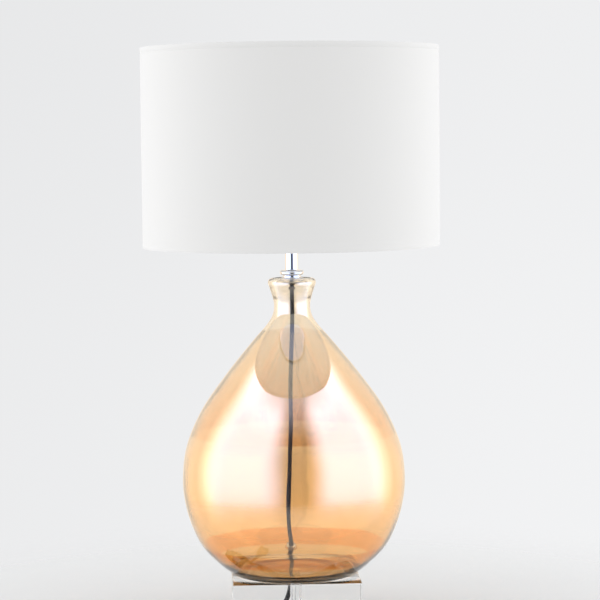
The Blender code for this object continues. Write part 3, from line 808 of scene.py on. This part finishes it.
def lampholder():
    z = HOLDER_Z
    hole = ROD_R + 0.0003
    cap = turned("holder_base", softened([
        (HOLDER_R, 0.4745, 0.0002), (HOLDER_R, z + 0.0080, 0.003), (0.0150, z + 0.0010, 0.002), (0.0130, z),
        (hole, z), (hole, z + 0.0070), (0.0120, z + 0.0070), (HOLDER_R - 0.0020, z + 0.0100),
        (HOLDER_R - 0.0020, 0.4745),
    ], 0.0004, 5), 96)
    bpy.ops.object.select_all(action="DESELECT")
    bpy.ops.mesh.primitive_cylinder_add(vertices=48, radius=SWITCH_R + 0.0003, depth=0.06)
    drill = bpy.context.object
    placed(drill, (0, SWITCH_Y, SWITCH_Z), (0, math.pi / 2, 0))
    cut_with(cap, drill)
    smooth(cap, 30)
    kept_by(cap, "base", "white_plastic", white_moulded, "holder_cap")
    low = COLLAR_TOP - 0.0037
    shell = [(HOLDER_R - 0.0010, HOLDER_TOP), (HOLDER_R - 0.0002, HOLDER_TOP - 0.0010)]
    shell += ridged(HOLDER_R, HOLDER_R - 0.0006, HOLDER_TOP - 0.0015, COLLAR_TOP + 0.0015, 12)
    shell += [(HOLDER_R - 0.0004, COLLAR_TOP), (COLLAR_R - 0.0005, COLLAR_TOP)]
    shell += [(COLLAR_R, COLLAR_TOP - 0.0005)]
    shell += [(COLLAR_R, low + 0.0012), (HOLDER_R + 0.0006, low), (HOLDER_R - 0.0014, low)]
    shell += [(HOLDER_R - 0.0014, HOLDER_TOP)]
    shell = turned("holder_sleeve", shell, 96, sharp=30)
    kept_by(shell, "base", "white_plastic", white_moulded, "holder_shell")
    reach = HOLDER_R - 0.0017
    core = [(0.0, 0.4860), (0.0128, 0.4860), (0.0128, 0.4900), (reach, 0.4900)]
    core += [(reach, 0.4790), (0.0100, 0.4785), (0.0100, 0.4730), (0.0, 0.4730)]
    core = turned("holder_core", softened(core, 0.0003), 64, closed=False)
    kept_by(core, "base", "white_plastic", white_moulded, "insulating_core")
    inner = ridged(0.0136, 0.01385, 0.5095, 0.4910, 5)
    sleeve = [(0.0141, 0.4903), (0.0141, 0.5100), (0.0136, 0.5100), *inner, (0.0136, 0.4903)]
    kept_by(turned("brass_screw_shell", sleeve, 64, sharp=50), "base", "brass", brass, "screw_shell")
    half = SWITCH_HALF
    bar = [(0.0, half), (SWITCH_R, half, 0.0009), (SWITCH_R, -half, 0.0009), (0.0, -half)]
    bar = turned("switch_push_bar", softened(bar, 0.0009, 5), 40, closed=False)
    placed(bar, (SWITCH_X, SWITCH_Y, SWITCH_Z), (0, math.pi / 2, 0))
    kept_by(bar, "switch", "white_plastic", white_moulded, "switch_bar")


def bulb():
    z = BULB_Z
    cap = [(BULB_CAP_R - 0.0004, z + 0.0215), (BULB_CAP_R - 0.0004, z + 0.0205)]
    cap += ridged(BULB_CAP_R, BULB_CAP_R - 0.0009, z + 0.0200, z + 0.0056, 4)
    cap += [(0.0080, z + 0.0010), (0.0080, z + 0.0018)]
    cap += [(BULB_CAP_R - 0.0016, z + 0.0068), (BULB_CAP_R - 0.0016, z + 0.0215)]
    kept_by(turned("bulb_screw_cap", cap, 64, sharp=40), "bulb", "zinc_steel", zinc, "bulb_cap")
    tip = [(0.0, z + 0.0030), (0.0045, z + 0.0030), (0.0074, z + 0.0016), (0.0050, z)]
    tip += [(0.0035, z - 0.0008), (0.0, z - 0.0008)]
    tip = turned("bulb_end_contact", softened(tip, 0.0004), 40, closed=False)
    kept_by(tip, "bulb", "brass", brass, "bulb_contact")
    start = z + 0.0218
    top = z + BULB_H
    candle = [(0.0124, start), (0.0138, start + 0.010), (0.0174, start + 0.026)]
    candle += [(BULB_R, start + 0.042), (0.0128, start + 0.068), (0.0, top)]
    outer = [(max(r, 0.0), min(h, top)) for r, h in smooth_line(candle, 8)]
    inner = [(max(r, 0.0), h) for r, h in inset(outer, 0.0008)]
    inner[-1] = (0.0, top - 0.0008)
    shell = turned("opal_bulb", [*reversed(outer), *inner], 96, closed=False, sharp=60)
    kept_by(shell, "bulb", "opal_glass", opal, "bulb_envelope")


lampholder()
bulb()


# ---------------------------------------------------------------- shade

def cloth_map(piece, at=SHADE_R):
    """Maps a turned cloth in metres: round the shade, and up it or across its edge."""
    layer = piece.data.uv_layers.new(name="cloth")
    for face in piece.data.polygons:
        middle = math.atan2(face.center.y, face.center.x)
        for corner in face.loop_indices:
            spot = piece.data.vertices[piece.data.loops[corner].vertex_index].co
            turn = (math.atan2(spot.y, spot.x) - middle + math.pi) % math.tau - math.pi
            layer.data[corner].uv = ((middle + turn) * at, spot.z + math.hypot(spot.x, spot.y))


def shade():
    low, high = SHADE_BOTTOM, SHADE_TOP
    inside = SHADE_R - LINEN
    skin = [
        (SHADE_R, high - 0.0010), (SHADE_R, high - 0.0056), (SHADE_R - 0.0004, high - 0.0062),
        (SHADE_R - 0.0003, high - 0.0070), (SHADE_R - 0.0001, high - 0.0150), (SHADE_R, (low + high) / 2),
        (SHADE_R - 0.0001, low + 0.0120), (SHADE_R - 0.0003, low + 0.0052),
        (SHADE_R - 0.0001, low + 0.0046), (SHADE_R, low + 0.0010), (SHADE_R - 0.0003, low),
        (inside, low), (inside, high), (SHADE_R - 0.0003, high),
    ]
    cloth = turned("linen_skin", skin, 240, sharp=50)
    cloth_map(cloth)
    kept_by(cloth, "shade", "white_linen", linen, "shade_skin")
    edge = LINEN + 0.0003
    liner = turned("laminate_liner", ring(LINER_IN, LINER_OUT, low + edge, high - edge), 240, sharp=30)
    kept_by(liner, "shade", "white_plastic", liner_film, "shade_liner")
    wire_at = LINER_IN - 0.0003 - WIRE_R
    hem_out = wire_at - WIRE_R - 0.0003
    hem_in = hem_out - LINEN
    hems = []
    hem_places = (("top_hem_fold", "top_hem", -1, high), ("bottom_hem_fold", "bottom_hem", 1, low))
    for name, node, side, at in hem_places:
        hem = [
            (LINER_OUT, at), (LINER_OUT, at + side * LINEN), (hem_out, at + side * LINEN),
            (hem_out, at + side * HEM_H), (hem_in, at + side * HEM_H), (hem_in, at, 0.0007),
        ]
        fold = turned(name, softened(hem, 0.0002), 240, sharp=50)
        cloth_map(fold)
        hems.append(kept_by(fold, "shade", "white_linen", linen, node))
    reach = edge + WIRE_R
    angles = [math.tau * i / 12 for i in range(12)]
    section = [(wire_at + WIRE_R * math.cos(a), WIRE_R * math.sin(a)) for a in angles]
    wires = repeated(turned("ring_wire", section, 240, sharp=60), 2)
    for wire_ring, end, at in zip(wires, ("top", "bottom"), (high - reach, low + reach)):
        wire_ring.name = wire_ring.data.name = f"{end}_ring_wire"
        placed(wire_ring, (0, 0, at))
        kept_by(wire_ring, "shade", "white_enamel", enamel, f"{end}_wire")
    half = math.radians(2.4)
    strip = ring(LINER_IN - 0.0006, LINER_IN - 0.0003, low + 0.012, high - 0.012)
    start = math.pi / 2 - half
    tape = turned("liner_joint_tape", strip, 12, angle=2 * half, start=start, sharp=30)
    kept_by(tape, "shade", "white_plastic", liner_film, "joint_tape")
    seat = COLLAR_TOP + 0.0003
    fitter = turned("fitter_plate", softened(ring(0.0206, 0.0252, seat, seat + 0.0016), 0.0004), 96)
    kept_by(fitter, "shade", "white_enamel", enamel, "fitter_ring")
    route = [(0.0255, 0.4795), (0.055, 0.4788), (0.110, 0.4690), (0.150, 0.4570)]
    route = smooth_line([*route, (hem_in - 0.0003, 0.4540)], 10)
    arm = wire("spider_wire", [(r, 0, h) for r, h in route], ARM_R, 3)
    for i, (arm, angle) in enumerate(zip(repeated(arm, len(ARM_ANGLES)), ARM_ANGLES), 1):
        placed(arm, turn=(0, 0, math.radians(angle)))
        kept_by(arm, "shade", "white_enamel", enamel, f"spider_arm_{i}")
    start = seat + 0.0019
    nut = turned("retaining_ring", softened([
        (0.0222, start + 0.0080, 0.0006), (0.0226, start + 0.0024), (0.0248, start + 0.0020, 0.0006),
        (0.0248, start), (0.0194, start), (0.0194, start + 0.0080),
    ], 0.0004), 96)
    kept_by(nut, "retaining_ring", "white_plastic", white_moulded, "shade_ring")
    return cloth, liner, hems


linen_skin, laminate_liner, hem_folds = shade()

for node, finish in (
    ("centre_contact", brass), ("terminal_screw_1", brass), ("terminal_screw_2", brass),
    ("terminal_wire_1", brown_moulded), ("terminal_wire_2", brown_moulded),
):
    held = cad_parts[node]
    held.data.materials.clear()
    held.data.materials.append(finish)


# ---------------------------------------------------------------- studio

def floor():
    bpy.ops.object.select_all(action="DESELECT")
    bpy.ops.mesh.primitive_circle_add(vertices=96, radius=6.0, fill_type="NGON")
    made = named("studio_floor")
    material = bpy.data.materials.new("pale_floor")
    material.use_nodes = True
    nodes = Nodes(material.node_tree)
    material.node_tree.nodes.clear()
    paint = nodes.add("ShaderNodeBsdfDiffuse")
    nodes.put(paint, "Color", (0.80, 0.805, 0.81, 1))
    clear_away = nodes.add("ShaderNodeBsdfTransparent")
    spot = nodes.add("ShaderNodeSeparateXYZ")
    nodes.put(spot, 0, nodes.place())
    squares = [nodes.math("POWER", spot.outputs[i], 2.0) for i in (0, 1)]
    away = nodes.math("SQRT", nodes.math("ADD", *squares))
    mix = nodes.add("ShaderNodeMixShader")
    nodes.put(mix, 0, nodes.fade(away, FLOOR_FULL, FLOOR_GONE))
    nodes.put(mix, 1, paint.outputs[0])
    nodes.put(mix, 2, clear_away.outputs[0])
    output = nodes.add("ShaderNodeOutputMaterial")
    nodes.put(output, 0, mix.outputs[0])
    made.data.materials.append(material)


def surroundings():
    """A pale room for the eye, and soft panels at both sides for light and reflections."""
    world = bpy.data.worlds.new("studio")
    bpy.context.scene.world = world
    world.use_nodes = True
    nodes = Nodes(world.node_tree)
    world.node_tree.nodes.clear()
    way = nodes.add("ShaderNodeSeparateXYZ")
    nodes.put(way, 0, nodes.add("ShaderNodeTexCoord").outputs["Generated"])
    x, y, z = way.outputs
    forwards = nodes.math("MULTIPLY", y, -1.0)
    turn = nodes.math("DEGREES", nodes.math("ARCTAN2", x, forwards))
    rise = nodes.math("DEGREES", nodes.math("ARCSINE", z))
    pair = []
    for start, full, end, last in PANEL_TURNS:
        across = nodes.fade(turn, end, last, 1.0, 0.0)
        pair.append(nodes.math("MULTIPLY", nodes.fade(turn, start, full), across))
    upright = nodes.math("MULTIPLY", nodes.fade(rise, 50, 72, 1.0, 0.0), nodes.fade(rise, -50, -4))
    panels = nodes.math("MULTIPLY", nodes.math("ADD", *pair), upright)
    eye = nodes.add("ShaderNodeLightPath")
    mirrored = nodes.math("MAXIMUM", eye.outputs["Is Glossy Ray"], eye.outputs["Is Transmission Ray"])
    panels = nodes.math("MULTIPLY", panels, PANEL_LEVEL)
    back = nodes.fade(y, -0.2, 0.5)
    top = nodes.math("MULTIPLY", nodes.fade(z, 0.6, 0.95), 0.6)
    room = nodes.math("ADD", nodes.math("ADD", panels, back), nodes.math("ADD", top, DARK_LEVEL))
    sides = nodes.math("MULTIPLY", nodes.fade(nodes.math("ABSOLUTE", x), 0.3, 0.95), 0.85)
    gentle = nodes.math("ADD", nodes.math("ADD", sides, SOFT_LEVEL), nodes.math("MULTIPLY", top, 0.5))
    level = nodes.add("ShaderNodeMix", data_type="FLOAT")
    nodes.put(level, 0, mirrored)
    nodes.put(level, 2, gentle)
    nodes.put(level, 3, room)
    direct = nodes.math("SUBTRACT", mirrored, eye.outputs["Is Transmission Ray"])
    lit = nodes.add("ShaderNodeBackground")
    behind = nodes.fade(y, -0.1, 0.4)
    mirrored_tint = nodes.colours(behind, (0.79, 0.90, 1.26), (1.0, 0.84, 0.66))
    nodes.put(lit, "Color", nodes.colours(direct, (1.0, 0.998, 0.992), mirrored_tint))
    nodes.put(lit, "Strength", level.outputs[0])
    seen = nodes.add("ShaderNodeBackground")
    side = nodes.fade(x, -0.15, 0.2)
    drop = nodes.fade(z, -0.15, 0.06)
    shade_of = nodes.math("ADD", nodes.math("MULTIPLY", side, 0.055), nodes.math("MULTIPLY", drop, -0.03))
    nodes.put(seen, "Color", (0.985, 0.99, 1.0, 1))
    nodes.put(seen, "Strength", nodes.math("ADD", shade_of, 0.845))
    mix = nodes.add("ShaderNodeMixShader")
    nodes.put(mix, 0, eye.outputs["Is Camera Ray"])
    nodes.put(mix, 1, lit.outputs[0])
    nodes.put(mix, 2, seen.outputs[0])
    output = nodes.add("ShaderNodeOutputWorld")
    nodes.put(output, 0, mix.outputs[0])


floor()
surroundings()
bpy.context.scene.view_settings.view_transform = "Standard"
bpy.context.scene.cycles.max_bounces = LIGHT_BOUNCES
bpy.context.scene.cycles.transmission_bounces = LIGHT_BOUNCES
